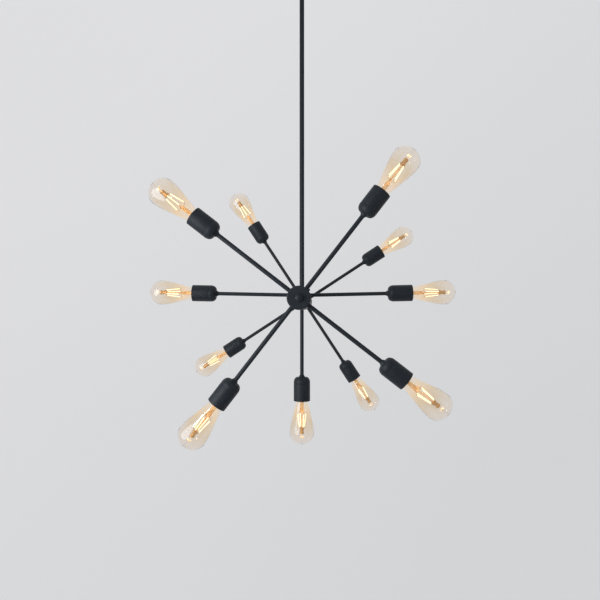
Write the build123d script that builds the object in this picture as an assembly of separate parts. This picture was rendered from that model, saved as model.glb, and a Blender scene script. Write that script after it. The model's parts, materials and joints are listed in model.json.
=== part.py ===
from build123d import *
import os
from math import cos, radians, sin, sqrt

os.makedirs("parts", exist_ok=True)

# A stem-hung chandelier: a level tubular hub with three rings of straight arms and eleven lamps.
# Millimetres and degrees. Origin on the ceiling, in the middle of the mount; +Z is up.
# The hub lies along Y, and the end that a viewer sees first looks along -Y.

# Overall layout
hub_drop = 890.0            # ceiling to the middle of the hub
arm_reach = 282.0           # hub axis to the rim of a cup, along the arm
bottom_shortening = 24.0    # how much less the bottom arm reaches
near_ring_turn = 52.2       # angle of the first front arm, counted from +X towards +Z
far_ring_turn = 33.2        # angle of the first back arm, counted alike
quarter_turn = 90.0
ring_distance = 275.0       # stem's axis to the arms of the front ring, and of the back ring
ring_inset = 22.0           # hub tube's end to the arms of a ring
side_arm_rise = 12.5        # side arms leave the hub above its axis
side_arm_tilt = 1.2

# Fits
thread_clearance = 0.05
running_clearance = 0.08
seat_gap = 0.3              # between a moving piece and its neighbour
overrun = 4.0               # how far a cutting tool runs past the face it cuts

# Tubes
stem_radius = 6.0
stem_bore = 4.8
arm_radius = 4.75
arm_bore = 3.55
lead_radius = 2.7
stem_upper_length = 250.0
coupler_length = 30.0
coupler_bore = 3.4

# Hub tube, its covers and fasteners
hub_radius = 25.0
hub_wall = 4.0
cover_thickness = 4.0
cover_edge_radius = 2.5
cover_lip_depth = 4.0
cover_lip_wall = 3.0
tube_stub = 2.0             # how far stem and arms reach into the hub's hollow
tie_rod_radius = 3.0
tie_rod_reach = 5.5         # how far the tie rod runs into a knob
knob_radius = 8.0
knob_height = 10.5
knob_foot_radius = 5.5
knob_foot_height = 2.0
knob_crown_radius = 5.0
knob_crown_rise = 1.5
set_screw_turn = 37.0
set_screw_radius = 2.0
set_screw_proud = 3.6
set_screw_from_edge = 2.0
crimp_cap_radius = 4.0
crimp_cap_length = 16.0
lead_tail = 9.0             # lamp lead from the arm's inner end towards the tie rod

# Socket cup
cup_radius = 21.0
cup_wall = 1.2
cup_depth = 61.0
cup_end_radius = 11.5
cup_shoulder_length = 14.0
cup_end_wall = 2.0
cup_neck_length = 5.5
cup_neck_wide = 8.0
cup_neck_narrow = 5.6
cup_seam_from_end = 16.5
cup_seam_width = 0.8
cup_seam_depth = 0.35
nut_thickness = 4.0
arm_nut_radius = 8.0

# Lampholder inside the cup
holder_radius = 16.8
holder_mouth_depth = 4.0    # below the cup's rim
holder_floor_depth = 31.0
holder_floor_thickness = 4.0
holder_room_radius = 12.0
holder_back_thickness = 9.0
arm_in_holder = 6.0
shell_wall = 0.6
shell_lip = 1.5
contact_radius = 6.0
contact_thickness = 1.2
contact_pin_radius = 2.9

# Bulb
bulb_radius = 31.0
bulb_reach = 112.0          # beyond the cup's rim
glass_wall = 1.0
bulb_neck_radius = 12.6
bulb_neck_depth = 9.0
bulb_neck_straight = 5.5
nipple_tip_radius = 2.6
nipple_tip_length = 2.4
crown_flat = 0.5            # smallest flat on the axis of a rounded end
cap_radius = 13.25
cap_wall = 0.5
cap_shell_depth = 24.0
cap_insulator_depth = 27.0
cap_contact_depth = 28.0
cap_contact_radius = 4.8
glass_stem_radius = 4.6
glass_stem_top = 32.0
glass_flange = 1.5
filament_count = 4
filament_radius = 0.9
filament_low = 33.5
filament_high = 67.0
filament_low_radius = 11.0
filament_high_radius = 7.0
filament_anchor_height = 80.0
filament_anchor_radius = 2.4
filament_anchor_length = 3.0
support_wire_radius = 0.45

# Ceiling bracket and canopy
canopy_radius = 62.5
canopy_height = 32.0
canopy_wall = 1.2
canopy_edge_radius = 8.0
canopy_hole_radius = 5.3
bracket_width = 16.0
bracket_thickness = 2.5
bracket_drop = 14.0         # ceiling to the top of the bracket's dropped middle
bracket_middle_half = 27.0
ceiling_screw_spacing = 88.9
ceiling_screw_hole = 2.6
ear_length = 20.0
canopy_screw_depth = 12.0
canopy_screw_radius = 2.0
canopy_screw_head_radius = 5.0
canopy_screw_head_length = 4.0
canopy_screw_tail = 3.0
ground_screw_x = 18.0
ground_screw_radius = 2.0
ground_screw_head_radius = 4.0
ground_screw_head_length = 2.4
ground_screw_length = 8.0
connector_radius = 5.0
connector_top_radius = 3.2
connector_length = 17.0
connector_x = 8.0
connector_y = 21.0
canopy_lead_radius = 1.2
canopy_lead_spread = 1.5
canopy_lead_bend = 3.0
canopy_lead_top = 3.0       # below the ceiling

# Hang-straight swivel
nipple_radius = 4.85
nipple_bore = 3.3
nipple_top_proud = 1.0      # above the upper nut
nipple_nut_radius = 8.0
nipple_nut_thickness = 5.0
nipple_end_proud = 0.5
yoke_radius = 12.0
yoke_plate = 5.0
pivot_drop = 22.7           # top of the yoke to the tilt axis
yoke_below_pivot = 7.0
knuckle_radius = 7.0
knuckle_half_width = 8.2
knuckle_bore = 3.4
knuckle_neck_length = 15.0
knuckle_spigot_length = 15.0
pivot_screw_radius = 2.5
pivot_screw_depth = 4.2     # into the knuckle's side
pivot_head_radius = 4.0
pivot_head_thickness = 2.0


# Shapes used by more than one piece
def turned(points):
    return revolve(Plane.XZ * make_face(Polyline(*points, close=True).edges()), Axis.Z)


def rod(radius, low, high):
    return Pos(0, 0, low) * extrude(Circle(radius), high - low)


def tube(outer, inner, low, high):
    return Pos(0, 0, low) * extrude(Circle(outer) - Circle(inner), high - low)


def hex_nut(corner_radius, bore, low, high):
    return Pos(0, 0, low) * extrude(RegularPolygon(corner_radius, 6) - Circle(bore), high - low)


def strut(start, end, radius):
    line = Vector(*end) - Vector(*start)
    return Plane(origin=start, z_dir=line).location * rod(radius, 0, line.length)


def block(low, high):
    size = [h - l for l, h in zip(low, high)]
    middle = [(l + h) / 2 for l, h in zip(low, high)]
    return Pos(*middle) * Box(*size)


def save(name, *shapes):
    solids = [solid for shape in shapes for solid in shape.solids()]
    whole = solids[0] if len(solids) == 1 else Compound(children=solids)
    whole.label = name
    export_step(whole, f"parts/{name}.step")


# Where the eleven arms leave the hub
hub_inner_radius = hub_radius - hub_wall
hub_half_length = ring_distance + ring_inset
hub_middle = Vector(0, 0, -hub_drop)
cover_face = hub_half_length + cover_thickness
quadrants = ["upper_right", "upper_left", "lower_left", "lower_right"]


def direction(turn):
    return Vector(cos(radians(turn)), 0, sin(radians(turn)))


def lamp_at(name, turn, front, rise, reach):
    return {
        "name": name,
        "frame": Plane(origin=hub_middle + Vector(0, -front, rise), z_dir=direction(turn)).location,
        "start": sqrt(hub_inner_radius ** 2 - rise ** 2) - tube_stub,
        "reach": reach,
    }


near_lamps = [
    lamp_at(f"near_{corner}", near_ring_turn + quarter_turn * place, ring_distance, 0, arm_reach)
    for place, corner in enumerate(quadrants)
]
far_lamps = [
    lamp_at(f"far_{corner}", far_ring_turn + quarter_turn * place, -ring_distance, 0, arm_reach)
    for place, corner in enumerate(quadrants)
]
middle_lamps = [
    lamp_at("left", 2 * quarter_turn - side_arm_tilt, 0, side_arm_rise, arm_reach),
    lamp_at("right", side_arm_tilt, 0, side_arm_rise, arm_reach),
    lamp_at("bottom", 3 * quarter_turn, 0, 0, arm_reach - bottom_shortening),
]
lamps = near_lamps + middle_lamps + far_lamps


# Arms, their leads and the nuts that hold the cups on them.
# Heights within a lamp are counted outwards from its cup's rim.
cup_end_inside = cup_end_wall - cup_depth
holder_back = cup_end_inside + nut_thickness + thread_clearance
arm_end = holder_back + arm_in_holder


def arm(lamp):
    return lamp["frame"] * tube(arm_radius, arm_bore, lamp["start"], lamp["reach"] + arm_end)


def arm_lead(lamp):
    low = lamp["start"] - lead_tail
    return lamp["frame"] * rod(lead_radius, low, lamp["reach"] + holder_back + holder_back_thickness)


def at_rim(lamp, shape):
    return lamp["frame"] * Pos(0, 0, lamp["reach"]) * shape


def arm_nut():
    bore = arm_radius + thread_clearance
    return hex_nut(arm_nut_radius, bore, cup_end_inside, cup_end_inside + nut_thickness)


# Socket cup: a spun shell with a rounded shoulder, a fine seam and a short conical neck
def socket_cup():
    hole = arm_radius + thread_clearance
    shoulder = -cup_depth + cup_shoulder_length
    seam = -cup_depth + cup_seam_from_end
    inner = cup_radius - cup_wall
    inner_end = cup_end_radius - cup_wall
    inner_shoulder = shoulder - cup_end_inside
    lowest = 3 * quarter_turn
    rounding = {"start_angle": lowest, "arc_size": quarter_turn}
    outer_centre = (cup_end_radius, shoulder)
    outer_arc = EllipticalCenterArc(
        outer_centre, cup_radius - cup_end_radius, cup_shoulder_length, **rounding
    )
    inner_centre = (inner_end, shoulder)
    inner_arc = EllipticalCenterArc(inner_centre, inner - inner_end, inner_shoulder, **rounding)
    outside = Polyline(
        (cup_radius, shoulder),
        (cup_radius, seam),
        (cup_radius - cup_seam_depth, seam),
        (cup_radius - cup_seam_depth, seam + cup_seam_width),
        (cup_radius, seam + cup_seam_width),
        (cup_radius, 0),
        (inner, 0),
        (inner, shoulder),
    )
    back = Polyline(
        (inner_end, cup_end_inside),
        (hole, cup_end_inside),
        (hole, -cup_depth - cup_neck_length),
        (cup_neck_narrow, -cup_depth - cup_neck_length),
        (cup_neck_wide, -cup_depth),
        (cup_end_radius, -cup_depth),
    )
    edges = [*outer_arc.edges(), *outside.edges(), *inner_arc.edges(), *back.edges()]
    return revolve(Plane.XZ * make_face(edges), Axis.Z)


# Lampholder: an insulating body, its threaded brass shell and its centre contact
shell_outer = cap_radius + seat_gap + shell_wall
shell_low = -holder_floor_depth
contact_top = -cap_contact_depth - seat_gap


def lampholder():
    bore = shell_outer + thread_clearance
    floor_back = -holder_floor_depth - holder_floor_thickness
    room_back = holder_back + holder_back_thickness
    pin = contact_pin_radius + thread_clearance
    hole = arm_radius + thread_clearance
    return turned([
        (holder_radius, holder_back),
        (holder_radius, -holder_mouth_depth),
        (bore, -holder_mouth_depth),
        (bore, -holder_floor_depth),
        (pin, -holder_floor_depth),
        (pin, floor_back),
        (holder_room_radius, floor_back),
        (holder_room_radius, room_back),
        (hole, room_back),
        (hole, holder_back),
    ])


def socket_shell():
    return tube(shell_outer, shell_outer - shell_wall, shell_low, -holder_mouth_depth - shell_lip)


def centre_contact():
    low = -holder_floor_depth - holder_floor_thickness
    top_radius = contact_radius - contact_thickness
    return turned([
        (0, low),
        (contact_pin_radius, low),
        (contact_pin_radius, -holder_floor_depth),
        (contact_radius, -holder_floor_depth),
        (contact_radius, -holder_floor_depth + contact_thickness),
        (top_radius, contact_top),
        (0, contact_top),
    ])


# Bulb envelope: a drop shape on a neck, given as shares of its radius and of its reach.
# A straight flank runs into a bulge, a shoulder and a shallow crown, each tangent to the one before.
foot_share = 0.455
flank_top_shares = (0.885, 0.5)
widest_shares = (1.0, 0.74)
shoulder_shares = (0.77, 0.91)


def flank(radius, reach, end_point):
    flank_top, widest, shoulder = [
        (across * radius, up * reach) for across, up in (flank_top_shares, widest_shares, shoulder_shares)
    ]
    path = [Line((foot_share * radius, 0), flank_top)]
    for corner in (widest, shoulder, end_point):
        path.append(TangentArc(path[-1] @ 1, corner, tangent=path[-1] % 1))
    return path


def bulb_envelope():
    inner_radius = bulb_radius - glass_wall
    inner_reach = bulb_reach - nipple_tip_length - glass_wall
    neck_inner = bulb_neck_radius - glass_wall / 2
    tip = (nipple_tip_radius, bulb_reach - nipple_tip_length)
    outer = flank(bulb_radius, bulb_reach - nipple_tip_length, tip)
    inner = flank(inner_radius, inner_reach, (crown_flat, inner_reach))
    half_way = radians(quarter_turn / 2)
    bend = (nipple_tip_radius * cos(half_way), bulb_reach - nipple_tip_length * (1 - sin(half_way)))
    rounding = ThreePointArc(tip, bend, (crown_flat, bulb_reach))
    closing = Polyline(rounding @ 1, (0, bulb_reach), (0, inner_reach), inner[-1] @ 1)
    neck_top = -bulb_neck_depth + bulb_neck_straight
    neck = Polyline(
        inner[0] @ 0,
        (neck_inner, neck_top),
        (neck_inner, -bulb_neck_depth),
        (bulb_neck_radius, -bulb_neck_depth),
        (bulb_neck_radius, neck_top),
        outer[0] @ 0,
    )
    edges = [edge for line in [*outer, rounding, closing, *inner, neck] for edge in line.edges()]
    return revolve(Plane.XZ * make_face(edges), Axis.Z)


def glass_stem():
    flange_radius = bulb_neck_radius - glass_wall / 2 - thread_clearance
    return turned([
        (0, -bulb_neck_depth),
        (flange_radius, -bulb_neck_depth),
        (flange_radius, -bulb_neck_depth + glass_flange),
        (glass_stem_radius, 0),
        (glass_stem_radius, glass_stem_top - glass_stem_radius / 2),
        (glass_stem_radius / 2, glass_stem_top),
        (0, glass_stem_top),
    ])


def bulb_cap():
    inner = cap_radius - cap_wall
    shell = tube(cap_radius, inner, -cap_shell_depth, -bulb_neck_depth + bulb_neck_straight)
    insulator = turned([
        (0, -cap_insulator_depth),
        (cap_contact_radius, -cap_insulator_depth),
        (inner, -cap_shell_depth),
        (0, -cap_shell_depth),
    ])
    contact = rod(cap_contact_radius, -cap_contact_depth, -cap_insulator_depth)
    return [shell, insulator, contact]


# Light strips round a central wire, closing in towards a small anchor below the crown
def filament_frame():
    wire_foot = (0, 0, glass_stem_top)
    anchor_foot = (0, 0, filament_anchor_height - filament_anchor_length)
    frame = strut(wire_foot, anchor_foot, support_wire_radius)
    frame += Pos(anchor_foot) * rod(filament_anchor_radius, 0, filament_anchor_length)
    for place in range(filament_count):
        turn = radians(360 * (place + 0.5) / filament_count)
        low = (filament_low_radius * cos(turn), filament_low_radius * sin(turn), filament_low)
        high = (filament_high_radius * cos(turn), filament_high_radius * sin(turn), filament_high)
        frame += strut(low, high, filament_radius)
        frame += strut((0, 0, filament_low), low, support_wire_radius)
        frame += strut(high, anchor_foot, support_wire_radius)
    return frame


# Lamps: one cup each, and one glass and one cap for each bulb
cup = socket_cup()
envelope = bulb_envelope()
inner_stem = glass_stem()
cap_pieces = bulb_cap()
filaments = filament_frame()
for lamp in lamps:
    name = lamp["name"]
    save(f"socket_cup_{name}", at_rim(lamp, cup))
    save(f"bulb_glass_{name}", at_rim(lamp, envelope), at_rim(lamp, inner_stem))
    save(f"bulb_cap_{name}", *[at_rim(lamp, piece) for piece in cap_pieces], at_rim(lamp, filaments))

save("near_arms", *[arm(lamp) for lamp in near_lamps])
save("middle_arms", *[arm(lamp) for lamp in middle_lamps])
save("far_arms", *[arm(lamp) for lamp in far_lamps])
save("arm_lock_nuts", *[at_rim(lamp, arm_nut()) for lamp in lamps])
save("lampholders", *[at_rim(lamp, lampholder()) for lamp in lamps])
save(
    "lampholder_contacts",
    *[at_rim(lamp, piece) for lamp in lamps for piece in (socket_shell(), centre_contact())],
)

# Stem: two tubes on a hidden threaded coupler, from the knuckle down into the hub
pivot_z = -canopy_height - seat_gap - pivot_drop
stem_top = pivot_z - knuckle_neck_length
stem_joint = stem_top - stem_upper_length
stem_bottom = -hub_drop + hub_inner_radius - tube_stub
spigot_radius = stem_bore - thread_clearance
save("stem_upper", tube(stem_radius, stem_bore, stem_joint, stem_top))
save("stem_lower", tube(stem_radius, stem_bore, stem_bottom, stem_joint))
save(
    "stem_coupler",
    tube(spigot_radius, coupler_bore, stem_joint - coupler_length / 2, stem_joint + coupler_length / 2),
)
stem_lead = rod(lead_radius, stem_bottom - lead_tail / 2, pivot_z)

# Hub: a tube open at both ends, with a threaded hole for the stem and for each arm.
# Heights within the hub are counted from its middle, towards the viewer.
hub_frame = Plane(origin=hub_middle, x_dir=(1, 0, 0), z_dir=(0, -1, 0)).location
hub_tube = hub_frame * tube(hub_radius, hub_inner_radius, -hub_half_length, hub_half_length)
hub_tube -= Pos(hub_middle) * rod(stem_radius + thread_clearance, 0, hub_radius + overrun)
for lamp in lamps:
    hub_tube -= lamp["frame"] * rod(arm_radius + thread_clearance, 0, hub_radius + overrun)
lip_radius = hub_inner_radius - thread_clearance
screw_height = hub_half_length - set_screw_from_edge - set_screw_radius / 2
screw_start = hub_middle + Vector(0, -screw_height, 0)
screw_frame = Plane(origin=screw_start, z_dir=direction(set_screw_turn)).location
hub_tube -= screw_frame * rod(set_screw_radius + thread_clearance, 0, hub_radius + overrun)
save("hub_body", hub_tube)
save("hub_set_screw", screw_frame * rod(set_screw_radius, hub_inner_radius, hub_radius + set_screw_proud))


def hub_cover():
    face = cover_face
    plate = rod(hub_radius, hub_half_length, face)
    plate = fillet(plate.edges().sort_by(Axis.Z)[-1], cover_edge_radius)
    lip = tube(lip_radius, lip_radius - cover_lip_wall, hub_half_length - cover_lip_depth, hub_half_length)
    return plate + lip - rod(tie_rod_radius + thread_clearance, 0, face + overrun)


def hub_knob():
    bore = tie_rod_radius + thread_clearance
    bore_end = cover_face + tie_rod_reach + thread_clearance
    foot_top = cover_face + knob_foot_height
    crown = cover_face + knob_height
    belly = (foot_top + crown) / 2
    shoulder = crown - knob_crown_rise
    side = ThreePointArc((knob_foot_radius, foot_top), (knob_radius, belly), (knob_crown_radius, shoulder))
    dome = ThreePointArc(side @ 1, (knob_crown_radius / 2, crown - knob_crown_rise / 4), (crown_flat, crown))
    rest = Polyline(
        dome @ 1,
        (0, crown),
        (0, bore_end),
        (bore, bore_end),
        (bore, cover_face),
        (knob_foot_radius, cover_face),
        (knob_foot_radius, foot_top),
    )
    return revolve(Plane.XZ * make_face([*side.edges(), *dome.edges(), *rest.edges()]), Axis.Z)


back = Rot(quarter_turn * 2, 0, 0)
save("hub_front_cover", hub_frame * hub_cover())
save("hub_back_cover", hub_frame * back * hub_cover())
save("hub_knobs", hub_frame * hub_knob(), hub_frame * back * hub_knob())
rod_end = cover_face + tie_rod_reach
save("hub_tie_rod", hub_frame * rod(tie_rod_radius, -rod_end, rod_end))

# Crimp caps tucked against the tie rod below the stem, and a lead from each along the hub to a ring
crimp_offset = tie_rod_radius + crimp_cap_radius + seat_gap
crimp_cap = rod(crimp_cap_radius, -crimp_cap_length / 2, crimp_cap_length / 2)
hub_lead = rod(lead_radius, crimp_cap_length / 2, ring_distance - arm_radius)
crimp_caps = [hub_frame * Pos(side * crimp_offset, 0, 0) * crimp_cap for side in (-1, 1)]
half_turns = [Rot(0, 0, 0), Rot(0, quarter_turn * 2, 0)]
hub_leads = [hub_frame * turn * Pos(crimp_offset, 0, 0) * hub_lead for turn in half_turns]
save("hub_crimp_caps", *crimp_caps)
save("pendant_leads", stem_lead, *hub_leads, *[arm_lead(lamp) for lamp in lamps])

# Knuckle: a barrel between the yoke's cheeks, bored for the lead, with a neck that carries the stem
barrel_frame = Plane(origin=(0, 0, pivot_z), x_dir=(1, 0, 0), z_dir=(0, -1, 0)).location
knuckle = barrel_frame * rod(knuckle_radius, -knuckle_half_width, knuckle_half_width)
knuckle += rod(stem_radius, stem_top, pivot_z)
knuckle += rod(spigot_radius, stem_top - knuckle_spigot_length, stem_top)
knuckle -= rod(knuckle_bore, stem_top - knuckle_spigot_length - overrun, pivot_z + knuckle_radius + overrun)
side_bore_end = knuckle_half_width - pivot_screw_depth - thread_clearance
for side in (0, 1):
    turn = Rot(quarter_turn * 2 * side, 0, 0)
    hole = rod(pivot_screw_radius + running_clearance, side_bore_end, knuckle_half_width + overrun)
    knuckle -= barrel_frame * turn * hole
save("stem_knuckle", knuckle)

# Yoke: turns on the nipple and carries the knuckle between two cheeks
yoke_top = -canopy_height - seat_gap
yoke_bottom = pivot_z - yoke_below_pivot
slot_half = knuckle_half_width + seat_gap
yoke = tube(yoke_radius, nipple_radius + running_clearance, yoke_bottom, yoke_top)
yoke -= block(
    (-yoke_radius, -slot_half, yoke_bottom - overrun), (yoke_radius, slot_half, yoke_top - yoke_plate)
)
for side in (0, 1):
    turn = Rot(quarter_turn * 2 * side, 0, 0)
    yoke -= barrel_frame * turn * rod(pivot_screw_radius + thread_clearance, 0, yoke_radius + overrun)
save("swivel_yoke", yoke)


def pivot_screw():
    shank = rod(pivot_screw_radius, knuckle_half_width - pivot_screw_depth, yoke_radius + thread_clearance)
    head_low = yoke_radius + thread_clearance
    return shank + rod(pivot_head_radius, head_low, head_low + pivot_head_thickness)


save("pivot_screws", barrel_frame * pivot_screw(), barrel_frame * back * pivot_screw())

# Nipple and its three nuts: two clamp the bracket, the last one holds the yoke up
plate_top = -bracket_drop
plate_bottom = plate_top - bracket_thickness
nut_bore = nipple_radius + thread_clearance
keeper_top = yoke_top - yoke_plate - seat_gap
keeper_bottom = keeper_top - nipple_nut_thickness
nipple_low = keeper_bottom - nipple_end_proud
nipple_high = plate_top + nipple_nut_thickness + nipple_top_proud
save("swivel_nipple", tube(nipple_radius, nipple_bore, nipple_low, nipple_high))
save(
    "nipple_nuts",
    hex_nut(nipple_nut_radius, nut_bore, plate_top, plate_top + nipple_nut_thickness),
    hex_nut(nipple_nut_radius, nut_bore, plate_bottom - nipple_nut_thickness, plate_bottom),
    hex_nut(nipple_nut_radius, nut_bore, keeper_bottom, keeper_top),
)

# Canopy: a spun cup with its open rim against the ceiling
canopy_inner = canopy_radius - canopy_wall


def canopy_shell():
    outer = rod(canopy_radius, -canopy_height, 0)
    outer = fillet(outer.edges().sort_by(Axis.Z)[0], canopy_edge_radius)
    hollow = rod(canopy_inner, -canopy_height + canopy_wall, overrun)
    hollow = fillet(hollow.edges().sort_by(Axis.Z)[0], canopy_edge_radius - canopy_wall)
    return outer - hollow - rod(canopy_hole_radius, -canopy_height - overrun, 0)


canopy = canopy_shell()
for side in (-1, 1):
    hole_start = (side * canopy_inner / 2, 0, -canopy_screw_depth)
    hole_end = (side * (canopy_radius + overrun), 0, -canopy_screw_depth)
    canopy -= strut(hole_start, hole_end, canopy_screw_radius + seat_gap)
save("canopy", canopy)

# Bracket: flanges on the ceiling, a dropped middle for the nipple, and turned-down ears
half_width = bracket_width / 2
ear_face = sqrt(canopy_inner ** 2 - half_width ** 2) - seat_gap
bracket = block(
    (-bracket_middle_half, -half_width, plate_bottom), (bracket_middle_half, half_width, plate_top)
)
for side in (-1, 1):
    web = sorted([side * bracket_middle_half, side * (bracket_middle_half - bracket_thickness)])
    flange = sorted([side * (bracket_middle_half - bracket_thickness), side * ear_face])
    ear = sorted([side * (ear_face - bracket_thickness), side * ear_face])
    bracket += block((web[0], -half_width, plate_bottom), (web[1], half_width, 0))
    bracket += block((flange[0], -half_width, -bracket_thickness), (flange[1], half_width, 0))
    bracket += block((ear[0], -half_width, -ear_length), (ear[1], half_width, 0))
for side in (-1, 1):
    screw_x = side * ceiling_screw_spacing / 2
    bracket -= Pos(screw_x, 0, 0) * rod(ceiling_screw_hole, -bracket_thickness - overrun, overrun)
    hole_start = (side * bracket_middle_half, 0, -canopy_screw_depth)
    hole_end = (side * canopy_radius, 0, -canopy_screw_depth)
    bracket -= strut(hole_start, hole_end, canopy_screw_radius + thread_clearance)
bracket -= rod(nipple_radius + thread_clearance, plate_bottom - overrun, plate_top + overrun)
bracket -= Pos(ground_screw_x, 0, 0) * rod(
    ground_screw_radius + thread_clearance, plate_bottom - overrun, plate_top + overrun
)
save("ceiling_bracket", bracket)


def canopy_screw(side):
    shank_start = (side * (ear_face - bracket_thickness - canopy_screw_tail), 0, -canopy_screw_depth)
    head_start = (side * (canopy_radius + thread_clearance), 0, -canopy_screw_depth)
    head_length = canopy_screw_head_length + thread_clearance
    head_end = (side * (canopy_radius + head_length), 0, -canopy_screw_depth)
    head = strut(head_start, head_end, canopy_screw_head_radius)
    return strut(shank_start, head_start, canopy_screw_radius) + head


save("canopy_screws", canopy_screw(-1), canopy_screw(1))
ground_head_top = plate_bottom - thread_clearance
ground_screw = rod(ground_screw_radius, ground_head_top, ground_head_top + ground_screw_length)
ground_screw += rod(ground_screw_head_radius, ground_head_top - ground_screw_head_length, ground_head_top)
save("ground_screw", Pos(ground_screw_x, 0, 0) * ground_screw)

# Two leads from the nipple over the bracket into connectors that stand on the canopy's floor
connector_low = -canopy_height + canopy_wall + seat_gap
connector_high = connector_low + connector_length
wiring = []
for side in (-1, 1):
    start = Vector(side * canopy_lead_spread, 0, nipple_low)
    over = Vector(side * canopy_lead_spread, 0, -canopy_lead_top)
    across = Vector(side * connector_x, connector_y, -canopy_lead_top)
    end = Vector(side * connector_x, connector_y, connector_high)
    route = FilletPolyline(start, over, across, end, radius=canopy_lead_bend)
    wiring.append(sweep(Plane(origin=start, z_dir=(0, 0, 1)) * Circle(canopy_lead_radius), path=route))
    wiring.append(
        Pos(side * connector_x, connector_y, 0)
        * turned([
            (0, connector_low),
            (connector_top_radius, connector_low),
            (connector_radius, connector_high),
            (0, connector_high),
        ])
    )
save("canopy_wiring", *wiring)
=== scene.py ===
import cmath
import json
import math

import bmesh
import bpy
from mathutils import Matrix, Vector


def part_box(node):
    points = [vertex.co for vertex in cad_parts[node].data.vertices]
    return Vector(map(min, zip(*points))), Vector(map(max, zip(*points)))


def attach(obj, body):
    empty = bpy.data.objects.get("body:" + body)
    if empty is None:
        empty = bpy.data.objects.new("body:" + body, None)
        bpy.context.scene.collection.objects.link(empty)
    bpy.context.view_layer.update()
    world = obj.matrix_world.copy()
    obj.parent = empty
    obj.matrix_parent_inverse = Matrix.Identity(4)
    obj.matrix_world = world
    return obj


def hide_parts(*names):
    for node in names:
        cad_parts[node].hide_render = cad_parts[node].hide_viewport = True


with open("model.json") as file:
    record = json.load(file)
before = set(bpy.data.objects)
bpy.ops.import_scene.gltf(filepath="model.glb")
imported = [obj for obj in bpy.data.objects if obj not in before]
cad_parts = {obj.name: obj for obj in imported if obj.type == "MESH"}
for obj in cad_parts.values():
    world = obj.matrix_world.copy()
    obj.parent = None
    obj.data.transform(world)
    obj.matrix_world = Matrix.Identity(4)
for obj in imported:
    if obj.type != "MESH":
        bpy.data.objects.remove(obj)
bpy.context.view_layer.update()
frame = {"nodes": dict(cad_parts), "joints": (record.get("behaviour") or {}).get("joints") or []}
print("frame loaded,", len(frame["nodes"]), "nodes")

# Blender works in metres and radians. The pieces' sizes below are in millimetres and degrees, and
# these two turn them over; the studio's, the lamps' and the camera's are in metres
mm = 0.001
degree = math.pi / 180
smoothAngle = 32 * degree   # edges sharper than this stay crisp
onAxis = 0.001              # a lathe point nearer to the axis than this, in mm, is a single point
roundSteps = 12             # steps in a rounded corner
threadSteps = 8             # heights per turn of a thread


# Where each lamp stands, read from the frame: its own Z runs out along the arm, 0 at the cup's rim
def ownCorners(node, matrix):
    inverse = matrix.inverted()
    points = [inverse @ vertex.co for vertex in frame["nodes"][node].data.vertices]
    low = Vector(min(point[k] for point in points) for k in range(3))
    high = Vector(max(point[k] for point in points) for k in range(3))
    return low, high


def lampFrame(name):
    axis = next(Vector(j["axis"]) for j in frame["joints"] if j["name"] == f"unscrew_{name}")
    turn = axis.to_track_quat("Z", "Y").to_matrix().to_4x4()
    low, high = ownCorners(f"socket_cup_{name}", turn)
    rim = Vector(((low.x + high.x) / 2, (low.y + high.y) / 2, high.z))
    return turn @ Matrix.Translation(rim)


lampNames = sorted(n.removeprefix("socket_cup_") for n in frame["nodes"] if n.startswith("socket_cup_"))
lampFrames = {name: lampFrame(name) for name in lampNames}
print("lamps found:", len(lampNames))


# Mesh tools
def lathe(mesh, profile, sides, slot=0, closed=False, place=None):
    # profile holds (radius, height) in mm, or (radius, height, shape), where a shape
    # changes the radius round the turn
    rings = []
    for radius, height, *shape in profile:
        if radius < onAxis:
            rings.append([mesh.verts.new((0, 0, height * mm))])
            continue
        ring = []
        for side in range(sides):
            turn = 2 * math.pi * side / sides
            r = shape[0](radius, turn, height) if shape else radius
            ring.append(mesh.verts.new((r * math.cos(turn) * mm, r * math.sin(turn) * mm, height * mm)))
        rings.append(ring)
    pairs = list(zip(rings, rings[1:]))
    if closed:
        pairs.append((rings[-1], rings[0]))
    for lower, upper in pairs:
        for side in range(sides):
            after = (side + 1) % sides
            if len(lower) == 1 and len(upper) == 1:
                break
            if len(lower) == 1:
                corners = [lower[0], upper[after], upper[side]]
            elif len(upper) == 1:
                corners = [lower[side], lower[after], upper[0]]
            else:
                corners = [lower[side], lower[after], upper[after], upper[side]]
            face = mesh.faces.new(corners)
            face.material_index = slot
    verts = [v for ring in rings for v in ring]
    if place:
        bmesh.ops.transform(mesh, matrix=place, verts=verts)
    return verts


def hexShape(corner):
    sixth = 60 * degree
    flat = corner * math.cos(sixth / 2)
    return lambda radius, turn, height: min(radius, flat / math.cos(turn % sixth - sixth / 2))


def knurlShape(depth, count):
    return lambda radius, turn, height: radius - depth * (0.5 - 0.5 * math.cos(count * turn))


def threadShape(depth, pitch, share):
    return lambda radius, turn, height: (
        radius - share * depth * (0.5 - 0.5 * math.cos(2 * math.pi * height / pitch - turn)))


def threadLine(radius, low, high, threadLow, threadHigh, depth, pitch):
    # Heights from low to high, close enough to show a thread whose depth fades in and out at its ends
    count = round((high - low) * threadSteps / pitch)
    fade = pitch / 2
    line = []
    for step in range(count + 1):
        height = low + (high - low) * step / count
        share = min(max((height - threadLow) / fade, 0), max((threadHigh - height) / fade, 0), 1)
        line.append((radius, height, threadShape(depth, pitch, share)))
    return line


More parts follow.
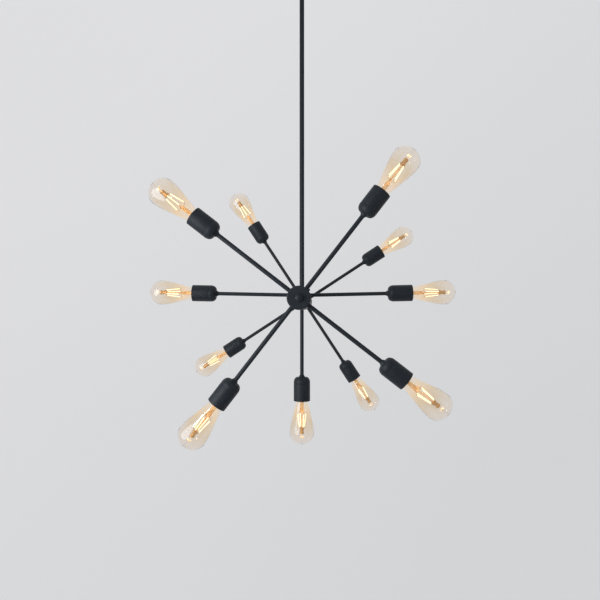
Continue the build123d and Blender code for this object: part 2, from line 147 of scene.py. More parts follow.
def sweep(mesh, points, radius, sides, slot=0):
    # A round wire along points in metres, with flat ends
    points = [Vector(p) for p in points]
    ahead = (points[1] - points[0]).normalized()
    across = ahead.orthogonal().normalized()
    rings = []
    for place, point in enumerate(points):
        before = points[max(place - 1, 0)]
        after = points[min(place + 1, len(points) - 1)]
        turned = (after - before).normalized()
        across = (ahead.rotation_difference(turned) @ across).normalized()
        ahead = turned
        other = ahead.cross(across)
        size = radius[place] if isinstance(radius, (list, tuple)) else radius
        rings.append([
            mesh.verts.new(point + size * (math.cos(a) * across + math.sin(a) * other))
            for a in (2 * math.pi * side / sides for side in range(sides))
        ])
    for lower, upper in zip(rings, rings[1:]):
        for side in range(sides):
            after = (side + 1) % sides
            mesh.faces.new([lower[side], lower[after], upper[after], upper[side]]).material_index = slot
    mesh.faces.new(list(reversed(rings[0]))).material_index = slot
    mesh.faces.new(rings[-1]).material_index = slot


def smoothLine(points, steps):
    # A Catmull-Rom curve through a few given points, in any number of dimensions
    first = [2 * a - b for a, b in zip(points[0], points[1])]
    last = [2 * a - b for a, b in zip(points[-1], points[-2])]
    padded = [first, *points, last]
    line = []
    for corners in zip(padded, padded[1:], padded[2:], padded[3:]):
        for step in range(steps):
            t = step / steps
            point = []
            for a, b, c, d in zip(*corners):
                rise = (c - a) * t
                bend = (2 * a - 5 * b + 4 * c - d) * t ** 2
                twist = (3 * b - a - 3 * c + d) * t ** 3
                point.append(b + 0.5 * (rise + bend + twist))
            line.append(tuple(point))
    return line + [tuple(points[-1])]


def roundTurns(angle):
    # The turns of a rounded corner, from nothing to this many degrees
    return [step * angle / roundSteps * degree for step in range(roundSteps + 1)]


def finishMesh(mesh, name):
    bmesh.ops.recalc_face_normals(mesh, faces=mesh.faces[:])
    for face in mesh.faces:
        face.smooth = True
    for edge in mesh.edges:
        edge.smooth = len(edge.link_faces) == 2 and edge.calc_face_angle() < smoothAngle
    data = bpy.data.meshes.new(name)
    mesh.to_mesh(data)
    mesh.free()
    return data


def placedCopy(data, place):
    # Moved to its lamp in its own mesh; ownPlace keeps where each point was before, for the finishes
    data = data.copy()
    spots = data.attributes.new("ownPlace", "FLOAT_VECTOR", "POINT")
    values = [0.0] * (3 * len(data.vertices))
    data.vertices.foreach_get("co", values)
    spots.data.foreach_set("vector", values)
    data.transform(place)
    return data


def addPiece(name, data, body, materials, place=None, replaces=()):
    if place:
        data = placedCopy(data, place)
    data.name = name
    piece = bpy.data.objects.new(name, data)
    bpy.context.scene.collection.objects.link(piece)
    for material in materials:
        data.materials.append(material)
    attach(piece, body)
    if replaces:
        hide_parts(*replaces)


# Material tools
def linear(code):
    # The sRGB standard's own curve
    shares = [int(code[place:place + 2], 16) / 255 for place in (1, 3, 5)]
    return [s / 12.92 if s <= 0.04045 else ((s + 0.055) / 1.055) ** 2.4 for s in shares] + [1.0]


def darker(code, share):
    return [share * part for part in linear(code)[:3]] + [1.0]


def scaleFor(size):
    # Texture scale that gives a pattern of this size, in millimetres
    return 1 / (size * mm)


def startMaterial(name):
    material = bpy.data.materials.new(name)
    material.use_nodes = True
    material.node_tree.nodes.clear()
    return material, material.node_tree


def addNode(tree, kind, settings=None, links=None):
    node = tree.nodes.new("ShaderNode" + kind)
    for name, value in (settings or {}).items():
        if isinstance(name, int) or name in node.inputs:
            node.inputs[name].default_value = value
        else:
            setattr(node, name, value)
    for name, socket in (links or {}).items():
        tree.links.new(socket, node.inputs[name])
    return node


def endMaterial(material, tree, surface):
    addNode(tree, "OutputMaterial", None, {"Surface": surface})
    return material


def objectPlace(tree):
    return addNode(tree, "TexCoord").outputs["Object"]


def ownPlace(tree):
    # Where a point was before its piece moved to its lamp, so that all bulbs share one pattern
    return addNode(tree, "Attribute", {"attribute_name": "ownPlace"}).outputs["Vector"]


def heightOf(tree, vector):
    return addNode(tree, "SeparateXYZ", None, {"Vector": vector}).outputs["Z"]


def addNoise(tree, vector, size, detail):
    # size is the width of the pattern in millimetres
    noise = addNode(tree, "TexNoise", {"Scale": scaleFor(size), "Detail": detail}, {"Vector": vector})
    return noise.outputs["Fac"]


def addStreaks(tree, vector, look):
    # Noise drawn out along Z
    drawn = addNode(tree, "Mapping", {"Scale": (1.0, 1.0, look["stretch"])}, {"Vector": vector})
    return addNoise(tree, drawn.outputs["Vector"], look["streak"], look["detail"])


def mixColours(tree, low, high, share):
    # Sockets 6 and 7 are the Mix node's two colours, and 2 is what comes out
    return addNode(tree, "Mix", {"data_type": "RGBA", 6: low, 7: high}, {0: share}).outputs[2]


def addMath(tree, operation, first, second):
    return addNode(tree, "Math", {"operation": operation}, {0: first, 1: second}).outputs[0]


def distanceFrom(tree, height, middle):
    # How far a height lies from a middle given in millimetres
    away = addNode(tree, "Math", {"operation": "SUBTRACT", 1: middle * mm}, {0: height})
    return addNode(tree, "Math", {"operation": "ABSOLUTE"}, {0: away.outputs[0]}).outputs[0]


def seenDirectly(tree):
    # 1 for what the camera sees straight on, mirrored or through glass, 0 for light on its way
    path = addNode(tree, "LightPath").outputs
    first = addMath(tree, "MAXIMUM", path["Is Camera Ray"], path["Is Glossy Ray"])
    return addMath(tree, "MAXIMUM", first, path["Is Transmission Ray"])


# Black polyester powder coat, sprayed and baked on steel: near black with a cool blue cast,
# dull, with a fine orange peel that breaks up highlights
powderCoat = {
    "dark": "#1c2127",
    "pale": "#23292f",
    "roughness": (0.42, 0.54),
    "shine": 0.2,
    "grain": 1.1,        # orange peel, mm; the real 0.5 mm is drawn coarser so that it shows
    "grainDetail": 2.0,
    "blotch": 38.0,      # slow change of dullness, mm
    "blotchDetail": 3.0,
    "bump": 0.22,
    "height": 0.05,      # mm
}


def makePowderCoat():
    look = powderCoat
    material, tree = startMaterial("blackPowderCoat")
    place = objectPlace(tree)
    blotch = addNoise(tree, place, look["blotch"], look["blotchDetail"])
    grain = addNoise(tree, place, look["grain"], look["grainDetail"])
    shade = mixColours(tree, linear(look["dark"]), linear(look["pale"]), blotch)
    low, high = look["roughness"]
    dull = addNode(tree, "MapRange", {"To Min": low, "To Max": high}, {"Value": blotch})
    bump = addNode(tree, "Bump", {"Strength": look["bump"], "Distance": look["height"] * mm},
                   {"Height": grain})
    surface = addNode(tree, "BsdfPrincipled", {"Specular IOR Level": look["shine"]},
                      {"Base Color": shade, "Roughness": dull.outputs["Result"],
                       "Normal": bump.outputs["Normal"]})
    return endMaterial(material, tree, surface.outputs["BSDF"])


# Plated, turned and drawn metals share one recipe: a clean metal whose tone and dullness wander a little
metalLook = {
    "dark": 0.8,             # share of the colour
    "dull": (0.75, 1.25),    # shares of the roughness
    "detail": 4.0,
}


def makeMetal(name, code, roughness, grain):
    look = metalLook
    material, tree = startMaterial(name)
    wander = addNoise(tree, objectPlace(tree), grain, look["detail"])
    shade = mixColours(tree, darker(code, look["dark"]), linear(code), wander)
    low, high = look["dull"]
    dull = addNode(tree, "MapRange", {"To Min": roughness * low, "To Max": roughness * high},
                   {"Value": wander})
    surface = addNode(tree, "BsdfPrincipled", {"Metallic": 1.0},
                      {"Base Color": shade, "Roughness": dull.outputs["Result"]})
    return endMaterial(material, tree, surface.outputs["BSDF"])


# Moulded plastics and cable covers: one dye, a faint mottle and a soft shine
plasticLook = {
    "dark": 0.7,             # share of the colour
    "bump": 0.15,
    "height": 0.05,          # mm
    "detail": 2.0,
}


def makePlastic(name, code, roughness, grain):
    look = plasticLook
    material, tree = startMaterial(name)
    mottle = addNoise(tree, objectPlace(tree), grain, look["detail"])
    shade = mixColours(tree, darker(code, look["dark"]), linear(code), mottle)
    bump = addNode(tree, "Bump", {"Strength": look["bump"], "Distance": look["height"] * mm},
                   {"Height": mottle})
    surface = addNode(tree, "BsdfPrincipled", {"Roughness": roughness},
                      {"Base Color": shade, "Normal": bump.outputs["Normal"]})
    return endMaterial(material, tree, surface.outputs["BSDF"])


# Champagne glass: blown soda-lime glass with a thin gold lustre fired on, thickest round the flanks
# and clearer at the neck and the crown. Its streaks along its length are partly the lustre's uneven
# thickness and partly painted reflections of the strips, and it has a painted glow where the strips are close
champagneGlass = {
    "clear": "#fffaf4",
    "gold": "#fcefdb",
    "shadowTint": "#fdf0da",
    "roughness": 0.0,
    "index": 1.5,
    "middle": 46.0,       # mm from the cup's rim to the middle of the gold band
    "spread": 60.0,
    "streak": 9.0,        # width of the streaks, partly lustre and partly painted reflection, mm
    "stretch": 0.2,       # their width over their length; they run from neck to crown
    "detail": 2.0,
    "streakRange": (0.35, 0.65),   # noise that counts as the faintest and the fullest streak
    "streakShare": (0.3, 1.5),     # lustre and painted glow there
    # Painted glow: the colour of a glow put into the glass where the strips are near
    "paintedGlow": "#ffd49a",
    "glowMiddle": 24.0,
    "glowPeak": 0.032,
    "glowSpread": 44.0,
}


def makeChampagneGlass():
    look = champagneGlass
    material, tree = startMaterial("champagneGlass")
    place = ownPlace(tree)
    height = heightOf(tree, place)
    band = addNode(tree, "MapRange", {"interpolation_type": "SMOOTHSTEP", "From Min": look["spread"] * mm,
                                      "From Max": 0.0}, {"Value": distanceFrom(tree, height, look["middle"])})
    (faint, full), (least, most) = look["streakRange"], look["streakShare"]
    # Streaks: partly the lustre's uneven thickness, partly painted reflections of the strips
    lustreAndPaintedStreaks = addNode(tree, "MapRange", {"From Min": faint, "From Max": full, "To Min": least, "To Max": most},
                     {"Value": addStreaks(tree, place, look)}).outputs["Result"]
    lustre = addNode(tree, "Math", {"operation": "MULTIPLY", "use_clamp": True},
                     {0: band.outputs["Result"], 1: lustreAndPaintedStreaks})
    tint = mixColours(tree, linear(look["clear"]), linear(look["gold"]), lustre.outputs[0])
    # Painted glow that fades away from a band near the strips, broken up by the streaks; shine carries it
    paintedGlow = addNode(tree, "MapRange", {"interpolation_type": "SMOOTHSTEP", "From Max": look["glowSpread"] * mm,
                                      "To Min": look["glowPeak"], "To Max": 0.0},
                   {"Value": distanceFrom(tree, height, look["glowMiddle"])})
    shine = addMath(tree, "MULTIPLY", paintedGlow.outputs["Result"], lustreAndPaintedStreaks)
    surface = addNode(tree, "BsdfPrincipled",
                      {"Roughness": look["roughness"], "IOR": look["index"], "Transmission Weight": 1.0,
                       "Emission Color": linear(look["paintedGlow"])},
                      {"Base Color": tint, "Emission Strength": shine})
    # Lamps shine through the thin glass instead of stopping at it
    clear = addNode(tree, "BsdfTransparent", {"Color": linear(look["shadowTint"])})
    path = addNode(tree, "LightPath")
    both = addNode(tree, "MixShader", None, {0: path.outputs["Is Shadow Ray"], 1: surface.outputs["BSDF"],
                                             2: clear.outputs["BSDF"]})
    return endMaterial(material, tree, both.outputs["Shader"])


# Lead glass of the bulb's stem and of its button: drawn tube, streaked along its length, with a painted
# glow that stands in for the strips' light; the stem's painted glow fades out at the cup's rim, so its foot
# inside the cup is unlit, and the button's painted glow stands in for a highlight
litGlass = {
    "streak": 2.6,        # width of a streak, mm
    "stretch": 0.3,       # its width over its length
    "detail": 2.0,
    "clearing": (0.38, 0.62),   # noise that counts as the deepest and the clearest streak
    "roughness": 0.08,
    "index": 1.5,
    "transmission": 0.7,
}
# The painted glow grows from nothing at low to its strength at high, in mm past the cup's rim;
# the button's stands in for a highlight
stemTintAndPaintedGlow = {"clear": "#fbe3b8", "deep": "#d9a662", "paintedGlow": "#ffc27c", "strength": 0.22,
             "low": 0.0, "high": 22.0}
buttonTintAndPaintedHighlight = {"clear": "#fff6e6", "deep": "#f3e0bd", "paintedGlow": "#fff2dc", "strength": 0.62,
               "low": 84.0, "high": 91.0}


def makePaintedGlowGlass(name, light):
    look = litGlass
    material, tree = startMaterial(name)
    place = ownPlace(tree)
    low, high = look["clearing"]
    clearer = addNode(tree, "MapRange", {"From Min": low, "From Max": high},
                      {"Value": addStreaks(tree, place, look)}).outputs["Result"]
    shade = mixColours(tree, linear(light["deep"]), linear(light["clear"]), clearer)
    # Painted glow rising with height past the cup's rim, broken up by the streaks
    lit = addNode(tree, "MapRange", {"From Min": light["low"] * mm, "From Max": light["high"] * mm,
                                     "To Max": light["strength"]}, {"Value": heightOf(tree, place)})
    patchyPaintedGlow = addMath(tree, "MULTIPLY", lit.outputs["Result"], clearer)
    surface = addNode(tree, "BsdfPrincipled",
                      {"Roughness": look["roughness"], "IOR": look["index"],
                       "Transmission Weight": look["transmission"], "Emission Color": linear(light["paintedGlow"])},
                      {"Base Color": shade, "Emission Strength": patchyPaintedGlow})
    return endMaterial(material, tree, surface.outputs["BSDF"])


# Light strips: silicone with yellow phosphor over rows of tiny diodes, bright from end to end
stripLook = {
    "coat": "#fff0c6",
    "bead": "#f7dc9c",
    "light": "#fff6de",
    "strength": 1.15,
    "roughness": 0.45,
    "diode": 1.6,         # mm from diode to diode
    "detail": 1.0,
}


def makeStripPhosphor():
    look = stripLook
    material, tree = startMaterial("stripPhosphor")
    beads = addNoise(tree, ownPlace(tree), look["diode"], look["detail"])
    shade = mixColours(tree, linear(look["bead"]), linear(look["coat"]), beads)
    surface = addNode(tree, "BsdfPrincipled",
                      {"Roughness": look["roughness"], "Emission Color": linear(look["light"]),
                       "Emission Strength": look["strength"]},
                      {"Base Color": shade})
    return endMaterial(material, tree, surface.outputs["BSDF"])


coat = makePowderCoat()
glass = makeChampagneGlass()
stemGlass = makePaintedGlowGlass("leadGlassStem", stemTintAndPaintedGlow)
buttonGlass = makePaintedGlowGlass("leadGlassButton", buttonTintAndPaintedHighlight)
phosphor = makeStripPhosphor()

# Each metal and plastic has its colour, its roughness and the size of its wander or mottle in mm
zinc = makeMetal("zincPlatedSteel", "#b7bab8", 0.32, 14.0)   # pale and half bright, with a cold cast
brass = makeMetal("turnedBrass", "#d0a755", 0.30, 9.0)   # warm yellow inside the dark cups
nickel = makeMetal("nickelPlatedBrass", "#c9c1ad", 0.22, 11.0)   # the caps' thread, brighter than zinc
wireMetal = makeMetal("nickelWire", "#b9a98e", 0.35, 3.0)   # thin and warm against the strips
collarMetal = makeMetal("heatTintedNickel", "#dcb27a", 0.36, 4.0)   # straw coloured from the flame
solder = makeMetal("tinSolder", "#9b9c9c", 0.45, 3.0)   # a dull grey blob
blackGlass = makePlastic("vitriteGlass", "#15120f", 0.18, 6.0)   # glossy black ring round the contact
phenolic = makePlastic("mouldedPhenolic", "#191512", 0.42, 2.5)   # brownish black, half matte
leadCover = makePlastic("extrudedLeadCover", "#1b1b1c", 0.40, 3.0)   # plain black lead
neutralCover = makePlastic("extrudedNeutralCover", "#e4e2da", 0.40, 3.0)   # off-white lead
connectorPlastic = makePlastic("mouldedConnector", "#d9661e", 0.33, 4.0)   # bright orange, soft shine
groundPaint = makeMetal("greenDippedScrew", "#3f8a4e", 0.40, 4.0)   # green over metal
print("materials made:", len(bpy.data.materials))

# Finishes of the pieces that keep their solid from the frame; the rest of them are powder coated
finishes = {
    "ceiling_bracket": zinc,
    "stem_coupler": zinc,
    "hub_tie_rod": zinc,
    "arm_lock_nuts": zinc,
    "hub_crimp_caps": connectorPlastic,
    "pendant_leads": leadCover,
    "lampholders": phenolic,
}
for name, node in frame["nodes"].items():
    node.data.materials.clear()
    node.data.materials.append(finishes.get(name, coat))

# Bulb envelope: a drop on a neck. Its size is read from the frame; corners are shares of radius and
# reach, with a straight flank and then three arcs that each leave in the direction of the one before.
# Profiles here and below are pairs of radius and height, and a lamp's heights start at its cup's rim
bulb = {
    "wall": 1.0,
    "neckRadius": 12.6,
    "neckHeights": (-9.0, -5.5, -3.5),
    "foot": (0.455, 0.0),
    "flankTop": (0.885, 0.5),
    "flankSteps": 12,
    "widest": (1.0, 0.74),
    "shoulder": (0.77, 0.91),
    "pipRadius": 2.6,
    "pipLength": 2.4,
    "pip": ((4.5, -0.1), (2.6, 0.55), (1.5, 1.75), (0.7, 2.28), (0.0, 2.4)),   # radius, height over the crown
    "pipBlend": 0.5,
    "pipSteps": 3,
    "sides": 128,
    "steps": 14,
}
glassLow, glassHigh = ownCorners("bulb_glass_left", lampFrames["left"])
bulbRadius = (glassHigh.x - glassLow.x) / 2 / mm
bulbReach = glassHigh.z / mm


def arcOnward(start, ahead, end, steps):
    # Complex numbers stand for (radius, height); the arc leaves start in the direction ahead
    chord = end - start
    swing = cmath.phase(chord / ahead)
    size = abs(chord) / math.sin(swing)
    line = []
    for step in range(1, steps + 1):
        part = swing * step / steps
        line.append(start + ahead * size * math.sin(part) * cmath.exp(1j * part))
    return line, ahead * cmath.exp(2j * swing)


def envelopeLine(radius, reach, pipRadius):
    foot, flankTop, widest, shoulder = [
        complex(across * radius, up * reach)
        for across, up in (bulb["foot"], bulb["flankTop"], bulb["widest"], bulb["shoulder"])
    ]
    count = bulb["flankSteps"]
    line = [foot + (flankTop - foot) * step / count for step in range(count + 1)]
    ahead = (flankTop - foot) / abs(flankTop - foot)
    for corner in (widest, shoulder, complex(pipRadius, reach)):
        arc, ahead = arcOnward(line[-1], ahead, corner, bulb["steps"])
        line += arc
    return [(point.real, point.imag) for point in line]


def makeEnvelope():
    wall, neck = bulb["wall"], bulb["neckRadius"]
    crown = bulbReach - bulb["pipLength"]
    outer = [(neck, up) for up in bulb["neckHeights"]]
    outer += envelopeLine(bulbRadius, crown, bulb["pipRadius"])
    # The pip where the bulb was sealed grows out of the crown in a soft curve
    outer = [point for point in outer if point[1] < crown - bulb["pipBlend"]]
    outer += smoothLine([(across, crown + up) for across, up in bulb["pip"]], bulb["pipSteps"])
    inner = [(neck - wall, up) for up in bulb["neckHeights"]]
    inner += envelopeLine(bulbRadius - wall, crown - wall, 0.0)
    mesh = bmesh.new()
    outerVerts = lathe(mesh, outer, bulb["sides"])
    innerVerts = lathe(mesh, inner, bulb["sides"])
    for side in range(bulb["sides"]):
        after = (side + 1) % bulb["sides"]
        mesh.faces.new([outerVerts[side], innerVerts[side], innerVerts[after], outerVerts[after]])
    return finishMesh(mesh, "bulbEnvelope")


# Glass stem: a flare sealed into the neck, a tube pressed flat where the wires come out, a thin rod,
# a metal collar that holds the strips' upper ends, and a flat glass button on a pin past it
stem = {
    "rise": (
        (0.0, -8.6), (11.6, -8.6), (11.6, -7.6), (8.4, -5.2), (5.8, -1.5),
        (4.8, 3.0), (4.8, 12.0), (4.8, 19.0), (4.8, 22.0), (4.8, 27.0), (4.8, 29.8),
        (3.84, 31.0), (2.08, 31.6), (1.3, 33.0), (1.3, 50.0), (1.3, 69.0), (0.0, 69.0),
    ),
    "tubeRadius": 4.8,
    "pressLow": 19.0,
    "pressHigh": 31.1,
    "pressBlend": 6.0,   # height over which the round tube turns flat
    "pressWide": 6.2,
    "pressThin": 2.4,
    "collar": (
        (0.0, 68.0), (3.92, 68.0), (5.6, 69.2), (5.6, 72.0), (4.48, 74.5), (4.48, 78.5),
        (5.32, 81.0), (5.04, 83.8), (2.8, 85.0), (0.0, 85.0),
    ),
    "pin": ((1.1, 84.5), (1.1, 90.3)),
    "pinSides": 12,
    "buttonRadius": 5.4,
    "buttonHalf": 3.0,
    "buttonMiddle": 93.0,
    "sides": 32,
}


def makeStem():
    s = stem
    mesh = bmesh.new()
    low, high, blend = s["pressLow"] * mm, s["pressHigh"] * mm, s["pressBlend"] * mm
    for vert in lathe(mesh, s["rise"], s["sides"]):
        if low < vert.co.z < high:
            amount = min((vert.co.z - low) / blend, 1.0)
            vert.co.x *= 1 + amount * (s["pressWide"] / s["tubeRadius"] - 1)
            vert.co.y *= 1 + amount * (s["pressThin"] / s["tubeRadius"] - 1)
    lathe(mesh, s["collar"], s["sides"], 1)
    lathe(mesh, s["pin"], s["pinSides"], 2)
    across, half, middle = s["buttonRadius"], s["buttonHalf"], s["buttonMiddle"]
    button = [(across * math.sin(turn), middle - half * math.cos(turn)) for turn in roundTurns(180)]
    lathe(mesh, button, s["sides"], 2)
    return finishMesh(mesh, "bulbStem")


# Four light strips that close in towards the crown, and the wires that carry them
strips = {
    "count": 4,
    "radius": 1.0,
    "low": 33.5,
    "high": 67.0,
    "lowRadius": 11.0,
    "highRadius": 7.0,
    "ends": ((0.0, 0.45), (0.3, 0.8), (0.8, 1.0)),   # shares of the radius, along and across
    "sides": 12,
    "tab": 2.2,          # bare metal end
    "tabRadius": 0.5,
    "tabSides": 8,
    "tabHeld": 0.3,      # share of a tab's length that is inside the strip
}
wires = {
    "radius": 0.35,
    "sides": 6,
    "steps": 5,
    "foot": 28.0,
    "leaving": ((0.6, 0.0, 0.0), (1.0, 0.2, 2.0)),   # share of the press, share of the strip's y, mm up
    "arriving": (0.9, 0.7, -1.2),                    # shares of the strip's x and y, mm over its tab
    "over": (0.75, 2.4),                             # share of the upper tab's radius, mm over it
    "end": (0.3, 72.5),                              # share of that radius, height
}


def stripEnds(place):
    turn = 2 * math.pi * (place + 0.5) / strips["count"]
    ends = []
    for radius, height in ((strips["lowRadius"], strips["low"]), (strips["highRadius"], strips["high"])):
        ends.append(Vector((radius * math.cos(turn), radius * math.sin(turn), height)) * mm)
    return ends


def makeStrips():
    mesh = bmesh.new()
    size = strips["radius"] * mm
    ends = strips["ends"]
    for place in range(strips["count"]):
        low, high = stripEnds(place)
        along = (high - low).normalized()
        line = [(low + along * size * step, size * share) for step, share in ends]
        line += [(high - along * size * step, size * share) for step, share in reversed(ends)]
        sweep(mesh, [point for point, _ in line], [radius for _, radius in line], strips["sides"])
    return finishMesh(mesh, "bulbStrips")


def makeWires():
    w = wires
    mesh = bmesh.new()
    tab, held, tabRadius = strips["tab"] * mm, strips["tabHeld"], strips["tabRadius"] * mm
    foot, reach = w["foot"] * mm, stem["pressWide"] * mm
    for place in range(strips["count"]):
        low, high = stripEnds(place)
        along = (high - low).normalized()
        lowTab = low - along * tab
        highTab = high + along * tab
        sweep(mesh, [lowTab, low + along * tab * held], tabRadius, strips["tabSides"])
        sweep(mesh, [high - along * tab * held, highTab], tabRadius, strips["tabSides"])
        side = 1 if low.x > 0 else -1
        rising = [(side * reach * x, low.y * y, foot + z * mm) for x, y, z in w["leaving"]]
        x, y, z = w["arriving"]
        rising += [(low.x * x, low.y * y, lowTab.z + z * mm), tuple(lowTab)]
        sweep(mesh, smoothLine(rising, w["steps"]), w["radius"] * mm, w["sides"])
        (over, lift), (end, endHeight) = w["over"], w["end"]
        closing = [tuple(highTab), (high.x * over, high.y * over, highTab.z + lift * mm),
                   (high.x * end, high.y * end, endHeight * mm)]
        sweep(mesh, smoothLine(closing, w["steps"]), w["radius"] * mm, w["sides"])
    return finishMesh(mesh, "bulbWires")


# Screw cap: rolled thread, black glass insulator and a blob of solder
cap = {
    "radius": 13.25,
    "wall": 0.4,
    "top": -3.5,
    "threadTop": -6.0,
    "threadLow": -21.5,
    "low": -24.0,
    "pitch": 3.62,
    "depth": 1.0,
    "sides": 48,
    "insulator": ((0, -23.0), (12.65, -23.0), (12.65, -24.0), (9.0, -25.2), (6.0, -27.0), (0, -27.0)),
    "contact": ((0, -26.7), (4.8, -26.7), (4.8, -27.2), (3.84, -27.7), (1.92, -28.0), (0, -28.0)),
    "contactSides": 32,
}


def makeCap():
    c = cap
    rolled = (c["low"], c["top"], c["threadLow"], c["threadTop"], c["depth"], c["pitch"])
    outer = threadLine(c["radius"], *rolled)
    inner = threadLine(c["radius"] - c["wall"], *rolled)
    mesh = bmesh.new()
    lathe(mesh, outer + inner[::-1], c["sides"], closed=True)
    lathe(mesh, c["insulator"], c["sides"], 1)
    lathe(mesh, c["contact"], c["contactSides"], 2)
    return finishMesh(mesh, "bulbCap")


# Socket cup: spun steel with a square rim, a rounded shoulder, a pressed seam and a turned collar on the arm
cup = {
    "radius": 21.0,
    "wall": 1.2,
    "depth": 61.0,
    "endRadius": 11.5,
    "endWall": 2.0,
    "shoulder": 14.0,
    "bore": 4.8,
    "neck": ((4.8, -66.5), (5.3, -66.5), (5.6, -66.1), (7.5, -61.9), (8.2, -61.1), (8.7, -61.0)),
    "seam": ((21.0, -45.0), (20.92, -44.7), (20.6, -44.35), (20.6, -43.85), (20.92, -43.5), (21.0, -43.2)),
    "rim": ((21.0, -20.0), (21.0, -0.3), (20.7, 0.0), (20.1, 0.0), (19.8, -0.3), (19.8, -20.0)),
    "sides": 80,
}


def makeCup():
    c = cup
    outer, outerEnd = c["radius"], c["endRadius"]
    inner, innerEnd = outer - c["wall"], outerEnd - c["wall"]
    shoulder, end = c["shoulder"] - c["depth"], c["endWall"] - c["depth"]
    line = list(c["neck"])
    for turn in roundTurns(90):
        across = outerEnd + (outer - outerEnd) * math.sin(turn)
        line.append((across, shoulder - c["shoulder"] * math.cos(turn)))
    line += c["seam"] + c["rim"]
    for turn in roundTurns(90):
        across = innerEnd + (inner - innerEnd) * math.cos(turn)
        line.append((across, shoulder - (shoulder - end) * math.sin(turn)))
    line.append((c["bore"], end))
    mesh = bmesh.new()
    lathe(mesh, line, c["sides"], closed=True)
    return finishMesh(mesh, "socketCup")


# Threaded shell and sprung centre contact inside the lampholder
holder = {
    "radius": 14.15,
    "wall": 0.3,
    "top": -5.5,
    "threadTop": -7.0,
    "threadLow": -28.0,
    "low": -31.0,
    "depth": 0.55,
    "sides": 48,
    "contact": ((0, -35.0), (2.9, -35.0), (2.9, -31.0), (5.8, -31.0), (6.0, -30.7), (5.8, -29.8),
                (4.68, -28.85), (3.6, -28.35), (0, -28.35)),
    "contactSides": 32,
}


def makeContacts():
    h = holder
    rolled = (h["low"], h["top"], h["threadLow"], h["threadTop"], h["depth"], cap["pitch"])
    outer = threadLine(h["radius"], *rolled)
    inner = threadLine(h["radius"] - h["wall"], *rolled)
    mesh = bmesh.new()
    for name in lampNames:
        lathe(mesh, outer + inner[::-1], h["sides"], closed=True, place=lampFrames[name])
        lathe(mesh, h["contact"], h["contactSides"], place=lampFrames[name])
    return finishMesh(mesh, "lampholderShells")


envelopeMesh = makeEnvelope()
stemMesh = makeStem()
stripsMesh = makeStrips()
wiresMesh = makeWires()
capMesh = makeCap()
cupMesh = makeCup()
stemFinishes = [stemGlass, collarMetal, buttonGlass]
capFinishes = [nickel, blackGlass, solder]
stops = {"first": 20, "step": 37}   # degrees; each bulb comes to a stop at a turn of its own
for place, name in enumerate(lampNames):
    body = f"bulb_{name}"
    cupSpot = lampFrames[name]
    spot = cupSpot @ Matrix.Rotation((stops["first"] + stops["step"] * place) * degree, 4, "Z")
    addPiece(f"socketCup_{name}", cupMesh, "pendant", [coat], cupSpot, [f"socket_cup_{name}"])
    addPiece(f"bulbEnvelope_{name}", envelopeMesh, body, [glass], spot, [f"bulb_glass_{name}"])
    addPiece(f"bulbStem_{name}", stemMesh, body, stemFinishes, spot)
    addPiece(f"bulbStrips_{name}", stripsMesh, body, [phosphor], spot)
    addPiece(f"bulbWires_{name}", wiresMesh, body, [wireMetal], spot)
    addPiece(f"bulbCap_{name}", capMesh, body, capFinishes, spot, [f"bulb_cap_{name}"])
addPiece("lampholderShells", makeContacts(), "pendant", [brass], None, ["lampholder_contacts"])
print("bulbs and cups made:", len(lampNames))

# Threaded tube that the swivel hangs on, from the bracket down into the yoke
nippleTube = {"radius": 4.85, "bore": 3.3, "low": -43.1, "high": -8.0, "plain": 0.6, "depth": 0.45,
              "pitch": 1.0, "sides": 32}


def makeNippleTube():
    n = nippleTube
    low, high = n["low"], n["high"]
    outer = threadLine(n["radius"], low, high, low + n["plain"], high - n["plain"], n["depth"], n["pitch"])
    mesh = bmesh.new()
    lathe(mesh, outer + [(n["bore"], high), (n["bore"], low)], n["sides"], closed=True)
    return finishMesh(mesh, "nippleTube")


# Its three nuts: above and below the bracket, and one that keeps the yoke on
nippleNut = {"corner": 8.0, "face": 7.2, "chamfer": 0.7, "bore": 4.9, "lip": 0.4, "thick": 5.0,
             "lows": (-14.0, -21.5, -42.6), "sides": 48}


def makeNippleNuts():
    n = nippleNut
    corner, face, chamfer, bore, lip = n["corner"], n["face"], n["chamfer"], n["bore"], n["lip"]
    hexagon = hexShape(corner)
    mesh = bmesh.new()
    for low in n["lows"]:
        high = low + n["thick"]
        lathe(mesh, [
            (bore, low + lip), (bore + lip, low), (face, low, hexagon), (corner, low + chamfer, hexagon),
            (corner, high - chamfer, hexagon), (face, high, hexagon), (bore + lip, high), (bore, high - lip),
        ], n["sides"], closed=True)
    return finishMesh(mesh, "nippleNuts")


# Screws are turned along their own Z: the thread from low to headLow, then the head's round part, the
# part that is knurled or a hexagon, and the rest to the middle
screwPlain = {"point": 0.3, "neck": 0.5}   # bare lengths before and after the thread, mm


def makeScrews(name, screw, shape, places):
    low, high = screw["low"], screw["headLow"]
    line = [(0, low)]
    line += threadLine(screw["radius"], low, high, low + screwPlain["point"], high - screwPlain["neck"],
                       screw["depth"], screw["pitch"])
    line += screw["head"] + tuple((*point, shape) for point in screw["shaped"]) + screw["end"]
    mesh = bmesh.new()
    for place in places:
        lathe(mesh, line, screw["sides"], place=place)
    return finishMesh(mesh, name)


# Thumb screws through the canopy's sides into the bracket's ears, with knurled heads
canopyScrew = {
    "radius": 2.0,
    "low": 55.5,
    "headLow": 62.55,
    "depth": 0.3,
    "pitch": 0.8,
    "head": ((4.5, 62.55),),
    "shaped": ((5.0, 63.05), (5.0, 65.95)),
    "end": ((4.4, 66.55), (2.5, 66.55), (2.0, 66.25), (0, 66.25)),
    "knurls": 28,
    "knurlDepth": 0.35,
    "sides": 112,        # four to a knurl
    "height": -12.0,
}


